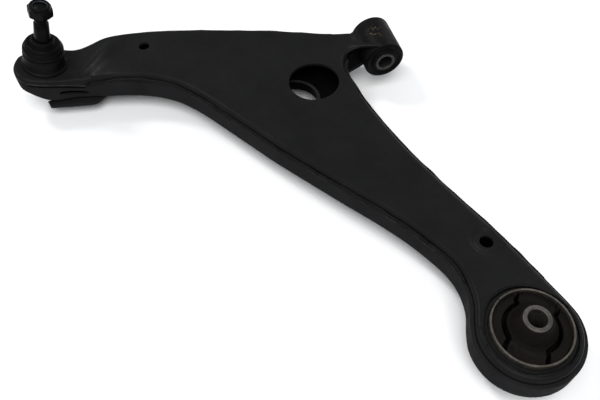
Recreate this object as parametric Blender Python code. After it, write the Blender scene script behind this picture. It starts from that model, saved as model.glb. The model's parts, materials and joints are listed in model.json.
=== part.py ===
"""Front lower control arm: a welded pressed-steel A-arm with two bushes and a ball joint.

Arm frame, in millimetres: the origin is the centre of the rear bush, level with the top rim
of its shell. +Y runs along the pivot line to the front bush, -X runs outboard to the ball
joint and +Z is up, square to the arm's top sheet. One empty carries the whole arm, so that
the finished part stands with its lowest point at z = 0 and its box centred on x = y = 0.
"""
import math

import bmesh
import bpy
from mathutils import Matrix, Vector

MM = 0.001

# Whole arm
FRAME_SHIFT = Vector((155.46, -190.26, 47.6))
GAP = 0.3

# Pressed sheets
SHEET = 3.0
TOP_Z = -4.0
BOTTOM_Z = -32.0
TOP_EDGE_R = 4.5
BOTTOM_EDGE_R = 4.5
UPPER_RIM_Z = -14.0
LOWER_RIM_Z = -10.5
EYE_R = 43.0
EYE_CENTRE = (-0.7, -0.5)
NECK_END = (-23.0, 333.5)
NECK_R = 15.5
MAX_TURN = math.radians(12.0)
MAX_STEP = 32.0

# Fold of the sheets into the tongue that carries the ball joint
FOLD_START = 264.0
FOLD_LENGTH = 28.0
FOLD_DROP = 0.25
TONGUE_TILT = math.radians(15.3)
FOLD_SOFTNESS = 4.0
NOSE_START = 328.0
NOSE_SLOPE = 1.0
NOSE_RISE = 19.0
BEND_STEP = 7.0

# Seam welds: each run goes anticlockwise from one place on the outline to another
SEAM_R = 1.35
SEAM_RUNS = (("seam_weld_inboard", (34, 34), (-38, 295)),
             ("seam_weld_front", (-36, 352), (-288, 420)),
             ("seam_weld_outboard", (-288, 365), (-30, 52)))

# Holes in the sheets: (x, y, radius)
ACCESS_TOP = (-76.7, 290.6, 24.1)
ACCESS_BOTTOM = (-98.2, 288.0, 23.0)
DRAIN_OUTBOARD = (-225.5, 390.4, 5.3)
DRAIN_INBOARD = (2.4, 78.7, 5.6)

# Rear bush, bore upright
REAR_SHELL_R = 31.0
REAR_SHELL_WALL = 1.7
REAR_SHELL_LENGTH = 34.0
REAR_SLEEVE_PROUD = 13.6
EYE_RING_WALL = 3.4
VOID_ANGLE = math.radians(-38.0)
VOID_WIDTH = 3.4
VOID_REACH = 24.0
VOID_CROWN = 20.5
VOID_BOW = 0.030
VOID_WEB = 3.0

# Front bush, bore along Y
FRONT_Z = -10.0
FRONT_TUBE_R = 20.2
FRONT_TUBE_WALL = 2.5
FRONT_TUBE_Y = (301.5, 344.0)
FRONT_SLEEVE_PROUD = 2.6

# Both inner sleeves clamp on an M14 bolt
BOLT_HOLE_R = 7.1
REAR_SLEEVE_R = 10.6
FRONT_SLEEVE_R = 10.0

# Ball joint: heights run along its own axis from the tongue's top face
BALL_X = -324.0
BALL_Y = 394.0
BALL_HEIGHT = 5.5
BALL_R = 12.4
HOUSING_R = 19.4
HOUSING_FLANGE_R = 21.8
HOUSING_TOP = 21.5
HOUSING_BOTTOM = -17.5
BARREL_R = 17.1
SOCKET_R = 15.4
LINER = 0.9
UNDERSIDE_R = 22.5
TAPER_SMALL_R = 6.9
TAPER_LARGE_R = 7.6
THREAD_R = 6.0
NUT_ACROSS_FLATS = 21.0
NUT_FROM = 59.1
NUT_TO = 66.9
COLLAR_R = 9.8
COLLAR_TO = 69.9
STUD_TO = 67.9


# ---------------------------------------------------------------- materials

def material(name, colour, roughness, metallic):
    made = bpy.data.materials.new(name)
    made.use_nodes = True
    shader = made.node_tree.nodes["Principled BSDF"]
    shader.inputs["Base Color"].default_value = (*colour, 1.0)
    shader.inputs["Roughness"].default_value = roughness
    shader.inputs["Metallic"].default_value = metallic
    return made


def make_materials():
    return {
        "ecoat": material("ecoat", (0.020, 0.020, 0.021), 0.45, 0.0),
        "weld": material("weld", (0.026, 0.026, 0.027), 0.5, 0.0),
        "bush_shell": material("bush_shell", (0.12, 0.105, 0.09), 0.5, 0.6),
        "sleeve": material("sleeve", (0.16, 0.15, 0.14), 0.45, 0.7),
        "bush_rubber": material("bush_rubber", (0.018, 0.015, 0.012), 0.75, 0.0),
        "housing": material("housing", (0.018, 0.018, 0.019), 0.5, 0.0),
        "boot_rubber": material("boot_rubber", (0.014, 0.014, 0.015), 0.6, 0.0),
        "stud_steel": material("stud_steel", (0.03, 0.03, 0.03), 0.45, 0.5),
        "bearing_plastic": material("bearing_plastic", (0.75, 0.73, 0.68), 0.5, 0.0),
        "spring_steel": material("spring_steel", (0.35, 0.35, 0.36), 0.35, 0.9),
        "nylon": material("nylon", (0.05, 0.06, 0.12), 0.5, 0.0),
    }


# ---------------------------------------------------------------- mesh tools

def add_object(name, mesh, slot, parent):
    made = bpy.data.objects.new(name, mesh)
    bpy.context.scene.collection.objects.link(made)
    made.parent = parent
    mesh.materials.append(slot)
    mesh.shade_smooth()
    mesh.set_sharp_from_angle(angle=math.radians(32.0))
    return made


def mesh_from(bm, name):
    bmesh.ops.recalc_face_normals(bm, faces=bm.faces)
    mesh = bpy.data.meshes.new(name)
    bm.to_mesh(mesh)
    bm.free()
    return mesh


def bridge(bm, loop_a, loop_b):
    count = len(loop_a)
    for i in range(count):
        j = (i + 1) % count
        bm.faces.new((loop_a[i], loop_a[j], loop_b[j], loop_b[i]))


def turned(name, profile, slot, parent, segments=28, about="Z"):
    """Spin a closed (radius, height) profile into a solid; height runs along Z or Y."""
    bm = bmesh.new()
    ring = [bm.verts.new((r * MM, 0.0, h * MM)) for r, h in profile]
    edges = []
    for start, stop in zip(ring, ring[1:] + ring[:1]):
        if start.co.x > 0.0 or stop.co.x > 0.0:
            edges.append(bm.edges.new((start, stop)))
    bmesh.ops.spin(bm, geom=ring + edges, cent=(0, 0, 0), axis=(0, 0, 1),
                   angle=math.tau, steps=segments, use_merge=True)
    bmesh.ops.remove_doubles(bm, verts=bm.verts, dist=1e-6)
    bmesh.ops.dissolve_degenerate(bm, edges=bm.edges, dist=1e-7)
    if about == "Y":
        turn = Matrix.Rotation(-math.pi / 2, 4, "X")
        bmesh.ops.transform(bm, matrix=turn, verts=bm.verts)
    return add_object(name, mesh_from(bm, name), slot, parent)


def ring_profile(inner, outer, low, high, chamfer=0.0):
    if chamfer == 0.0:
        return [(inner, low), (outer, low), (outer, high), (inner, high)]
    return [(inner, low), (outer - chamfer, low), (outer, low + chamfer),
            (outer, high - chamfer), (outer - chamfer, high), (inner, high)]


def arc(centre, radius, start, stop, steps):
    """Points on a circle, from one angle to another in degrees."""
    found = []
    for i in range(steps + 1):
        angle = math.radians(start + (stop - start) * i / steps)
        found.append((centre[0] + radius * math.cos(angle), centre[1] + radius * math.sin(angle)))
    return found


def cut(target, cutter):
    cutter.hide_render = True
    cutter.display_type = "WIRE"
    boolean = target.modifiers.new(cutter.name, "BOOLEAN")
    boolean.operation = "DIFFERENCE"
    boolean.object = cutter


def round_cutter(name, radius, low, high, parent, location, about="Z", segments=32):
    made = turned(name, [(0, low), (radius, low), (radius, high), (0, high)],
                  bpy.data.materials["ecoat"], parent, segments, about)
    made.location = location
    return made


def at(x, y, z):
    return Vector((x, y, z)) * MM


# ---------------------------------------------------------------- outline of the arm

def spline(points, steps=8):
    """A smooth closed curve through the points, as a dense list."""
    dense = []
    count = len(points)
    for i in range(count):
        p0, p1, p2, p3 = (Vector(points[(i + k - 1) % count]) for k in range(4))
        gap = [max((b - a).length, 1e-6) ** 0.5 for a, b in ((p0, p1), (p1, p2), (p2, p3))]
        slope_1 = ((p1 - p0) / gap[0] - (p2 - p0) / (gap[0] + gap[1]) + (p2 - p1) / gap[1]) * gap[1]
        slope_2 = ((p2 - p1) / gap[1] - (p3 - p1) / (gap[1] + gap[2]) + (p3 - p2) / gap[2]) * gap[1]
        for step in range(steps):
            t = step / steps
            dense.append(p1 * (2 * t**3 - 3 * t**2 + 1) + slope_1 * (t**3 - 2 * t**2 + t)
                         + p2 * (3 * t**2 - 2 * t**3) + slope_2 * (t**3 - t**2))
    return dense


def thinned(dense):
    """Keep a point wherever the curve has turned or run far enough."""
    kept = [dense[0]]
    turned_by = 0.0
    run = 0.0
    for i in range(1, len(dense) - 1):
        before = dense[i] - dense[i - 1]
        after = dense[i + 1] - dense[i]
        turned_by += abs(before.angle_signed(after))
        run += before.length
        if turned_by > MAX_TURN or run > MAX_STEP:
            kept.append(dense[i])
            turned_by = 0.0
            run = 0.0
    return kept


def arm_outline():
    """Outer face of the lower sheet's wall, anticlockwise seen from above."""
    eye = arc(EYE_CENTRE, EYE_R, 155, 360, 11)
    inboard = [(40.5, 10), (36, 26), (30.5, 44), (24.2, 64), (16.5, 88), (7.5, 112), (-2, 137),
               (-11, 163), (-20, 190), (-28, 222), (-34, 250), (-37.5, 277), (-39, 295)]
    neck = [(-38, 304), (-33.5, 312.5), *arc(NECK_END, NECK_R, -80, 80, 6)]
    forward = [(-36, 353), (-61, 363), (-92, 376), (-123, 387.3), (-154, 397.6), (-186, 407.6),
               (-218, 415.8), (-242, 420), (-262, 421), (-280, 419), (-297, 418.6), (-312, 421.5)]
    tongue = [(-328, 422.5), (-343, 412.5), (-351, 399), (-353, 386), (-349, 375), (-339, 369),
              (-323, 367), (-305, 366.5)]
    outboard = [(-288, 363), (-270, 357.5), (-250, 352), (-228, 343), (-208.5, 330), (-193.5, 314),
                (-178.5, 293), (-160.5, 265), (-135.5, 226.3), (-111.5, 192.3), (-88.5, 160.3),
                (-66.5, 130.3), (-51, 106.5), (-40.5, 86.5), (-33, 69), (-30.3, 52), (-32.5, 34)]
    return thinned(spline([*eye, *inboard, *neck, *forward, *tongue, *outboard]))


def inset(outline, distance):
    """Move every point of a closed anticlockwise outline inwards, square to the curve."""
    moved = []
    count = len(outline)
    for i in range(count):
        before = (outline[i] - outline[i - 1]).normalized()
        after = (outline[(i + 1) % count] - outline[i]).normalized()
        along = (before + after).normalized()
        inward = Vector((-along.y, along.x))
        moved.append(outline[i] + inward * distance / max(along.dot(before), 0.5))
    return moved


def ramp(value):
    """A soft corner: zero for negative values, rising one for one for positive ones."""
    return FOLD_SOFTNESS * math.log1p(math.exp(min(value / FOLD_SOFTNESS, 50.0)))


def fold_height(x):
    """How far the top sheet lies above or below its flat part at this x."""
    beyond = -x - FOLD_START
    down = FOLD_DROP * ramp(beyond)
    up = (FOLD_DROP + math.tan(TONGUE_TILT)) * ramp(beyond - FOLD_LENGTH)
    return up - down


def nose_height(x):
    """How far the bottom sheet rises towards the tip of the tongue."""
    beyond = -x - NOSE_START
    return NOSE_SLOPE * (ramp(beyond) - ramp(beyond - NOSE_RISE))


def fold_sheets(bm):
    """Bend a pan in mm: its top follows the fold, its bottom the nose."""
    bends = [FOLD_START - 6 + BEND_STEP * i for i in range(10)]
    bends += [NOSE_START + 4 + BEND_STEP * i for i in range(3)]
    for beyond in bends:
        everything = bm.verts[:] + bm.edges[:] + bm.faces[:]
        bmesh.ops.bisect_plane(bm, geom=everything, dist=1e-4, plane_co=(-beyond, 0, 0),
                               plane_no=(1, 0, 0))
    depth = LOWER_RIM_Z - BOTTOM_Z
    for vert in bm.verts:
        share = min(max((vert.co.z - BOTTOM_Z) / depth, 0.0), 1.0)
        x = vert.co.x
        vert.co.z += share * fold_height(x) + (1.0 - share) * nose_height(x)


def pan(name, outline, profile_out, profile_in, slot, parent):
    """A pressed pan: each profile is (inset, height) points from the rim to the flat."""
    bm = bmesh.new()
    sides = []
    for profile in (profile_out, profile_in):
        loops = []
        for distance, height in profile:
            loops.append([bm.verts.new((p.x, p.y, height)) for p in inset(outline, distance)])
        for lower, upper in zip(loops, loops[1:]):
            bridge(bm, lower, upper)
        bm.faces.new(loops[-1])
        sides.append(loops)
    bridge(bm, sides[0][0], sides[1][0])
    fold_sheets(bm)
    bmesh.ops.scale(bm, vec=(MM, MM, MM), verts=bm.verts)
    return add_object(name, mesh_from(bm, name), slot, parent)


def make_upper_shell(outline, parent, slot):
    edge = SHEET + GAP
    outer = [(edge, UPPER_RIM_Z)]
    outer += [(edge + TOP_EDGE_R - x, TOP_Z - TOP_EDGE_R + y)
              for x, y in arc((0, 0), TOP_EDGE_R, 0, 90, 2)]
    inner_r = TOP_EDGE_R - SHEET
    inner = [(edge + SHEET, UPPER_RIM_Z), (edge + SHEET, TOP_Z - TOP_EDGE_R),
             (edge + SHEET + inner_r, TOP_Z - SHEET)]
    return pan("upper_shell", outline, outer, inner, slot, parent)


def make_lower_shell(outline, parent, slot):
    outer = [(0.0, LOWER_RIM_Z)]
    outer += [(BOTTOM_EDGE_R - x, BOTTOM_Z + BOTTOM_EDGE_R - y)
              for x, y in arc((0, 0), BOTTOM_EDGE_R, 0, 90, 2)]
    inner_r = BOTTOM_EDGE_R - SHEET
    inner = [(SHEET, LOWER_RIM_Z), (SHEET, BOTTOM_Z + BOTTOM_EDGE_R),
             (SHEET + inner_r, BOTTOM_Z + SHEET)]
    return pan("lower_shell", outline, outer, inner, slot, parent)


def cut_sheets(upper, lower, frame, ball_frame):
    """Cut every hole through the two sheets."""
    for label, (x, y, radius), sheet in (("access_top", ACCESS_TOP, upper),
                                         ("access_bottom", ACCESS_BOTTOM, lower),
                                         ("drain_outboard", DRAIN_OUTBOARD, upper),
                                         ("drain_inboard", DRAIN_INBOARD, upper)):
        level = TOP_Z if sheet is upper else BOTTOM_Z + SHEET
        cut(sheet, round_cutter("cut_" + label, radius, -5, 5, frame, at(x, y, level - 1.5)))
    eye_r = REAR_SHELL_R + GAP + EYE_RING_WALL + GAP
    eye = round_cutter("cut_eye", eye_r, -40, 10, frame, at(0, 0, 0), segments=40)
    cut(upper, eye)
    cut(lower, eye)
    middle = sum(FRONT_TUBE_Y) / 2
    saddle = round_cutter("cut_saddle", FRONT_TUBE_R + GAP, -40, 40, frame,
                          at(0, middle, FRONT_Z), "Y")
    cut(upper, saddle)
    cut(lower, saddle)
    cut(upper, round_cutter("cut_housing", BARREL_R + GAP, -12, 8, ball_frame, at(0, 0, 0)))
    cut(lower, round_cutter("cut_underside", UNDERSIDE_R, -60, -6, ball_frame, at(0, 0, 0)))


# ---------------------------------------------------------------- welded pieces of the arm

def bead(name, path, radius, slot, parent, sides=6):
    """A weld bead: a round bar swept along points in mm, with flat ends."""
    bm = bmesh.new()
    loops = []
    for i, place in enumerate(path):
        along = Vector(path[min(i + 1, len(path) - 1)]) - Vector(path[max(i - 1, 0)])
        across = along.cross(Vector((0, 0, 1))).normalized()
        upward = across.cross(along).normalized()
        loop = []
        for side in range(sides):
            angle = math.tau * side / sides
            offset = (across * math.cos(angle) + upward * math.sin(angle)) * radius
            loop.append(bm.verts.new((Vector(place) + offset) * MM))
        loops.append(loop)
    for first, second in zip(loops, loops[1:]):
        bridge(bm, first, second)
    bm.faces.new(loops[0])
    bm.faces.new(loops[-1])
    return add_object(name, mesh_from(bm, name), slot, parent)


def run_between(line, start, stop):
    """The anticlockwise stretch of a closed line from nearest one place to nearest another."""
    first, last = (min(range(len(line)), key=lambda i: (line[i] - Vector(place)).length)
                   for place in (start, stop))
    if last < first:
        last += len(line)
    return [line[i % len(line)] for i in range(first, last + 1)]


def make_seam_welds(outline, parent, slot):
    """Beads on the lower sheet's rim, against the upper sheet's flange, in three runs."""
    line = inset(outline, SHEET + GAP - SEAM_R - 0.25)
    for name, start, stop in SEAM_RUNS:
        run = run_between(line, start, stop)
        close = [run[0]]
        for before, after in zip(run, run[1:]):
            steps = 4 if after.x < -FOLD_START + 8 or before.x < -FOLD_START + 8 else 1
            close += [before.lerp(after, (i + 1) / steps) for i in range(steps)]
        places = [(p.x, p.y, LOWER_RIM_Z + SEAM_R + 0.4 + fold_height(p.x)) for p in close]
        bead(name, places, SEAM_R, slot, parent)


def make_tongue_plate(parent, slot):
    """Flat stiffener under the ball joint, whose lip stands out beyond the wall."""
    top = BOTTOM_Z - GAP
    low = top - 4.6
    corners = [(-331, 369), (-327, 365.5), (-290, 357.5), (-284, 358), (-273, 366), (-270, 392),
               (-273, 418), (-284, 424), (-326, 424), (-331, 419)]
    bm = bmesh.new()
    lower_loop = [bm.verts.new(at(x, y, low)) for x, y in corners]
    upper_loop = [bm.verts.new(at(x, y, top)) for x, y in corners]
    bm.faces.new(lower_loop)
    bm.faces.new(upper_loop)
    bridge(bm, lower_loop, upper_loop)
    plate = add_object("tongue_plate", mesh_from(bm, "tongue_plate"), slot, parent)
    cut(plate, round_cutter("cut_plate", UNDERSIDE_R, -10, 10, parent, at(BALL_X - 7.5, BALL_Y, low)))


def make_front_tube_welds(parent, slot):
    """Fillets that join the bush tube to the upper sheet and to the end of the lower one."""
    radius = 1.2
    top_z = TOP_Z + radius + GAP
    top_x = -math.sqrt((FRONT_TUBE_R + 2 * radius)**2 - (top_z - FRONT_Z)**2)
    bottom_x = NECK_END[0] + NECK_R + radius + 2 * GAP
    bottom_z = FRONT_Z - FRONT_TUBE_R - 2 * radius
    for name, x, z in (("tube_weld_top", top_x, top_z), ("tube_weld_bottom", bottom_x, bottom_z)):
        places = [(x, NECK_END[1] - 5.0 + 3.0 * i, z) for i in range(6)]
        bead(name, places, radius, slot, parent)


# ---------------------------------------------------------------- rear bush

def make_rear_bush(frame, colours):
    ring_in = REAR_SHELL_R + GAP
    ring_out = ring_in + EYE_RING_WALL
    turned("rear_eye_ring", ring_profile(ring_in, ring_out, BOTTOM_Z - 1.0, TOP_Z + 1.2, 0.6),
           colours["ecoat"], frame, 40)
    shell_in = REAR_SHELL_R - REAR_SHELL_WALL
    turned("rear_bush_shell", ring_profile(shell_in, REAR_SHELL_R, -REAR_SHELL_LENGTH, 0.0, 0.4),
           colours["bush_shell"], frame, 40)
    middle = -REAR_SHELL_LENGTH / 2
    inner = REAR_SLEEVE_R + GAP
    outer = shell_in - GAP
    half = [(inner, 25.5), (13.5, 24.0), (17.5, 17.5), (22.0, 14.5), (outer, 14.0)]
    profile = [(r, middle + h) for r, h in half] + [(r, middle - h) for r, h in reversed(half)]
    rubber = turned("rear_bush_rubber", profile, colours["bush_rubber"], frame, 40)
    for label, turn in (("outboard", math.pi), ("inboard", 0.0)):
        for end, low, high in (("_top", VOID_WEB / 2, 30.0), ("_bottom", -30.0, -VOID_WEB / 2)):
            cutter = void_cutter("cut_void_" + label + end, low, high, frame)
            cutter.rotation_euler.z = VOID_ANGLE + turn
            cutter.location = at(0, 0, middle)
            cut(rubber, cutter)
    pivot = bpy.data.objects.new("rear_sleeve_pivot", None)
    bpy.context.scene.collection.objects.link(pivot)
    pivot.parent = frame
    pivot.location = at(0, 0, middle)
    half_length = REAR_SHELL_LENGTH / 2 + REAR_SLEEVE_PROUD
    turned("rear_bush_sleeve", ring_profile(BOLT_HOLE_R, REAR_SLEEVE_R, -half_length, half_length, 0.6),
           colours["sleeve"], pivot, 28)


def void_cutter(name, low_z, high_z, parent):
    """A slot bowed round the sleeve, with its two ends running straight."""
    steps = 10
    spine = []
    for i in range(steps + 1):
        along = VOID_REACH * (2 * i / steps - 1)
        bowed = min(abs(along), 15.0)
        spine.append(Vector((VOID_CROWN - VOID_BOW * bowed**2, along)))
    left = []
    right = []
    for i, point in enumerate(spine):
        ahead = spine[min(i + 1, steps)] - spine[max(i - 1, 0)]
        side = Vector((-ahead.y, ahead.x)).normalized() * VOID_WIDTH / 2
        left.append(point + side)
        right.append(point - side)
    rim = left + right[::-1]
    bm = bmesh.new()
    low = [bm.verts.new(at(p.x, p.y, low_z)) for p in rim]
    high = [bm.verts.new(at(p.x, p.y, high_z)) for p in rim]
    bm.faces.new(low)
    bm.faces.new(high)
    bridge(bm, low, high)
    return add_object(name, mesh_from(bm, name), bpy.data.materials["ecoat"], parent)


# ---------------------------------------------------------------- front bush

def make_front_bush(frame, colours):
    middle = sum(FRONT_TUBE_Y) / 2
    half = (FRONT_TUBE_Y[1] - FRONT_TUBE_Y[0]) / 2
    place = at(0, middle, FRONT_Z)
    tube_in = FRONT_TUBE_R - FRONT_TUBE_WALL
    shell_out = tube_in - GAP
    shell_in = shell_out - 1.4
    for name, profile, slot in (
            ("front_eye_tube", ring_profile(tube_in, FRONT_TUBE_R, -half, half, 0.6), "ecoat"),
            ("front_bush_shell", ring_profile(shell_in, shell_out, 1 - half, half - 1), "bush_shell"),
            ("front_bush_rubber", ring_profile(FRONT_SLEEVE_R + GAP, shell_in - GAP, -half, half, 1.0),
             "bush_rubber")):
        turned(name, profile, colours[slot], frame, 32, "Y").location = place
    pivot = bpy.data.objects.new("front_sleeve_pivot", None)
    bpy.context.scene.collection.objects.link(pivot)
    pivot.parent = frame
    pivot.location = place
    reach = half + FRONT_SLEEVE_PROUD
    turned("front_bush_sleeve", ring_profile(BOLT_HOLE_R, FRONT_SLEEVE_R, -reach, reach, 0.5),
           colours["sleeve"], pivot, 28, "Y")


# ---------------------------------------------------------------- ball joint

def make_housing(frame, colours):
    groove_r = 16.4
    outside = [(BARREL_R, HOUSING_BOTTOM), (BARREL_R, GAP), (HOUSING_FLANGE_R, GAP),
               (HOUSING_FLANGE_R, 2.6), (HOUSING_R, 3.8), (HOUSING_R, 15.1), (groove_r, 15.7),
               (groove_r, 19.7), (16.9, 20.2), (16.6, HOUSING_TOP)]
    inside = [(15.2, HOUSING_TOP), (11.9, 14.9), (11.9, 13.7), (SOCKET_R, 12.3),
              (SOCKET_R, HOUSING_BOTTOM)]
    turned("ball_joint_housing", outside + inside, colours["housing"], frame, 32)
    turned("housing_cover", [(0, -15.4), (SOCKET_R - GAP, -15.4), (SOCKET_R - GAP, -13.2), (0, -13.2)],
           colours["housing"], frame, 28)
    turned("preload_spring", [(8.0, -12.9), (15.0, -11.9), (15.0, -11.0), (8.0, -12.0)],
           colours["spring_steel"], frame, 28)
    tongue_under = -SHEET - 2.6
    turned("housing_snap_ring", ring_profile(BARREL_R + GAP, 18.2, tongue_under - 2.0, tongue_under),
           colours["spring_steel"], frame, 28)


def sphere_arc(radius, low, high, steps):
    """Profile points on a sphere about the ball's centre, between two latitudes."""
    return arc((0, BALL_HEIGHT), radius, low, high, steps)


def make_bearings(frame, liner_pivot, colours):
    seat_in = BALL_R + LINER + 2 * GAP
    seat_out = SOCKET_R - GAP
    bore = sphere_arc(seat_in, -28, 28, 4)
    turned("ball_seat", [(seat_out, bore[0][1]), (seat_out, bore[-1][1])] + bore[::-1],
           colours["bearing_plastic"], frame, 24)
    cup = sphere_arc(seat_in, -78, -33, 4)
    low = BALL_HEIGHT - seat_in - 1.6
    turned("lower_bearing_cup", [(cup[0][0], low), (seat_out, low), (seat_out, cup[-1][1])] + cup[::-1],
           colours["bearing_plastic"], frame, 24)
    outer = sphere_arc(BALL_R + GAP + LINER, -70, 36, 6)
    inner = sphere_arc(BALL_R + GAP, -70, 36, 6)
    liner = turned("ball_liner", outer + inner[::-1], colours["bearing_plastic"], liner_pivot, 24)
    liner.location = at(0, 0, -BALL_HEIGHT)


def make_stud(stud_pivot, colours):
    neck_r = 6.2
    neck_from = math.degrees(math.acos(neck_r / BALL_R))
    ball = sphere_arc(BALL_R, -66, neck_from, 8)
    flat = ball[0][1]
    shank = [(neck_r, 22.0), (TAPER_LARGE_R, 26.0), (TAPER_LARGE_R, 30.0), (TAPER_SMALL_R, 49.6),
             (5.4, 50.8), (5.4, 53.0), (THREAD_R, 53.8), (THREAD_R, STUD_TO - 0.8), (5.2, STUD_TO),
             (0, STUD_TO)]
    stud = turned("ball_stud", [(0, flat)] + ball + shank, colours["stud_steel"], stud_pivot, 24)
    stud.location = at(0, 0, -BALL_HEIGHT)


def make_nut(stud_pivot, colours):
    """Hexagon with a turned collar that holds a nylon locking ring."""
    corner_r = NUT_ACROSS_FLATS / 2 / math.cos(math.pi / 6)
    bm = bmesh.new()
    bmesh.ops.create_cone(bm, cap_ends=True, segments=6, radius1=corner_r * MM, radius2=corner_r * MM,
                          depth=(NUT_TO - NUT_FROM) * MM)
    bmesh.ops.translate(bm, verts=bm.verts, vec=at(0, 0, (NUT_TO + NUT_FROM) / 2))
    nut = add_object("lock_nut", mesh_from(bm, "lock_nut"), colours["stud_steel"], stud_pivot)
    nut.location = at(0, 0, -BALL_HEIGHT)
    collar = turned("guide_collar", [(0, NUT_TO - 1), (COLLAR_R, NUT_TO - 1),
                                     (COLLAR_R, COLLAR_TO - 1.4), (COLLAR_R - 1.1, COLLAR_TO),
                                     (0, COLLAR_TO)],
                    colours["stud_steel"], stud_pivot, 24)
    collar.location = nut.location
    collar.hide_render = True
    collar.display_type = "WIRE"
    join = nut.modifiers.new("collar", "BOOLEAN")
    join.operation = "UNION"
    join.object = collar
    bore_r = THREAD_R + GAP
    pocket = 8.0 + GAP
    floor = NUT_TO + 0.1
    lip = COLLAR_TO - 0.8
    bore = turned("cut_nut_bore", [(0, NUT_FROM - 1), (bore_r, NUT_FROM - 1), (bore_r, floor),
                                   (pocket, floor), (pocket, lip), (7.0, lip), (7.0, COLLAR_TO + 1),
                                   (0, COLLAR_TO + 1)],
                  colours["stud_steel"], stud_pivot, 24)
    bore.location = nut.location
    cut(nut, bore)
    ring = turned("nut_nylon_ring", ring_profile(bore_r, 8.0, floor + GAP, lip - GAP), colours["nylon"],
                  stud_pivot, 32)
    ring.location = nut.location


def make_boot(frame, boot_pivot, colours):
    outside = [(18.5, 16.1), (18.5, 20.1), (18.4, 21.6), (17.4, 23.6), (15.6, 25.4), (13.0, 26.8),
               (11.0, 27.6), (9.6, 28.6), (9.4, 31.2)]
    inside = [(TAPER_LARGE_R + GAP, 31.2), (TAPER_LARGE_R + GAP, 28.4), (9.8, 26.2), (12.2, 25.3),
              (14.3, 24.2), (16.2, 22.4), (17.2, 20.3), (16.8, 19.3), (16.8, 16.1)]
    turned("dust_boot", outside + inside, colours["boot_rubber"], frame, 32)
    turned("boot_clamp_ring", ring_profile(18.5 + GAP, 19.6, 16.9, 18.7), colours["spring_steel"],
           frame, 36)
    ring = turned("boot_seal_ring", ring_profile(9.6 + GAP, 10.9, 29.2, 30.6), colours["spring_steel"],
                  boot_pivot, 28)
    ring.location = at(0, 0, -BALL_HEIGHT)


def make_ball_joint(frame, colours):
    """Pieces hang from empties at the ball's centre, so that they turn about it."""
    pivots = []
    for name in ("liner_pivot", "boot_pivot", "stud_pivot"):
        pivot = bpy.data.objects.new(name, None)
        bpy.context.scene.collection.objects.link(pivot)
        pivot.parent = frame
        pivot.location = at(0, 0, BALL_HEIGHT)
        pivots.append(pivot)
    liner_pivot, boot_pivot, stud_pivot = pivots
    make_housing(frame, colours)
    make_bearings(frame, liner_pivot, colours)
    make_stud(stud_pivot, colours)
    make_nut(stud_pivot, colours)
    make_boot(frame, boot_pivot, colours)


# ---------------------------------------------------------------- assembly

def main():
    for old in list(bpy.data.objects):
        bpy.data.objects.remove(old, do_unlink=True)
    colours = make_materials()
    frame = bpy.data.objects.new("arm_frame", None)
    bpy.context.scene.collection.objects.link(frame)
    frame.location = FRAME_SHIFT * MM
    ball_frame = bpy.data.objects.new("ball_joint_frame", None)
    bpy.context.scene.collection.objects.link(ball_frame)
    ball_frame.parent = frame
    ball_frame.location = at(BALL_X, BALL_Y, TOP_Z + fold_height(BALL_X))
    ball_frame.rotation_euler.y = TONGUE_TILT
    outline = arm_outline()
    upper = make_upper_shell(outline, frame, colours["ecoat"])
    lower = make_lower_shell(outline, frame, colours["ecoat"])
    cut_sheets(upper, lower, frame, ball_frame)
    make_seam_welds(outline, frame, colours["weld"])
    make_tongue_plate(frame, colours["ecoat"])
    make_front_tube_welds(frame, colours["weld"])
    make_rear_bush(frame, colours)
    make_front_bush(frame, colours)
    make_ball_joint(ball_frame, colours)
    bpy.context.view_layer.update()


main()
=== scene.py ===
import json
from math import acos, cos, degrees, exp, hypot, log1p, pi, radians, sin, tan, tau

import bmesh
import bpy
from mathutils import Matrix, Vector, noise
from mathutils.geometry import delaunay_2d_cdt


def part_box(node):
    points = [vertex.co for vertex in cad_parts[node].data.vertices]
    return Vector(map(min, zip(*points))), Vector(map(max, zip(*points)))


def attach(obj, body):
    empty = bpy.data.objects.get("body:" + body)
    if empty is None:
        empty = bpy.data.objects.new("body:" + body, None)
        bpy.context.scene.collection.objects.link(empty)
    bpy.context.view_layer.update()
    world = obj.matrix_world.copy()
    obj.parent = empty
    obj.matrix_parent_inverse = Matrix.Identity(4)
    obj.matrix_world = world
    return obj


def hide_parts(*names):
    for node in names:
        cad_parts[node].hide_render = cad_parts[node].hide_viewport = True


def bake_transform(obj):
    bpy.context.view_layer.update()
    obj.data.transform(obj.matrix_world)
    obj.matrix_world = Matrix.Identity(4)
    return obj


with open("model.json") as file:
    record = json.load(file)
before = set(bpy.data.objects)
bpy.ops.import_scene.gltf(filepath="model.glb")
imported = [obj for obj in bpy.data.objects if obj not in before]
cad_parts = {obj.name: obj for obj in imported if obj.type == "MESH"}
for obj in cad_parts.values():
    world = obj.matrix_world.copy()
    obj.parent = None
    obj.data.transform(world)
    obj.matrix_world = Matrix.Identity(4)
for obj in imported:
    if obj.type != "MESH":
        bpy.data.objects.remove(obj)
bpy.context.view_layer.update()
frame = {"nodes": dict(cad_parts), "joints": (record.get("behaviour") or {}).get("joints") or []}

MM = 0.001

JOINTS = {joint["name"]: joint for joint in frame["joints"]}
REAR_PIVOT = Vector(JOINTS["rear_bush_tilt"]["pos_m"])
FRONT_PIVOT = Vector(JOINTS["front_bush_turn"]["pos_m"])
BALL_CENTRE = Vector(JOINTS["stud_spin"]["pos_m"])
BALL_AXIS = Vector(JOINTS["stud_spin"]["axis"]).normalized()
ARM_ORIGIN = Vector((REAR_PIVOT.x, REAR_PIVOT.y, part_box("rear_bush_shell")[1].z))
ARM = Matrix.Translation(ARM_ORIGIN) @ Matrix.Scale(MM, 4)

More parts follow.
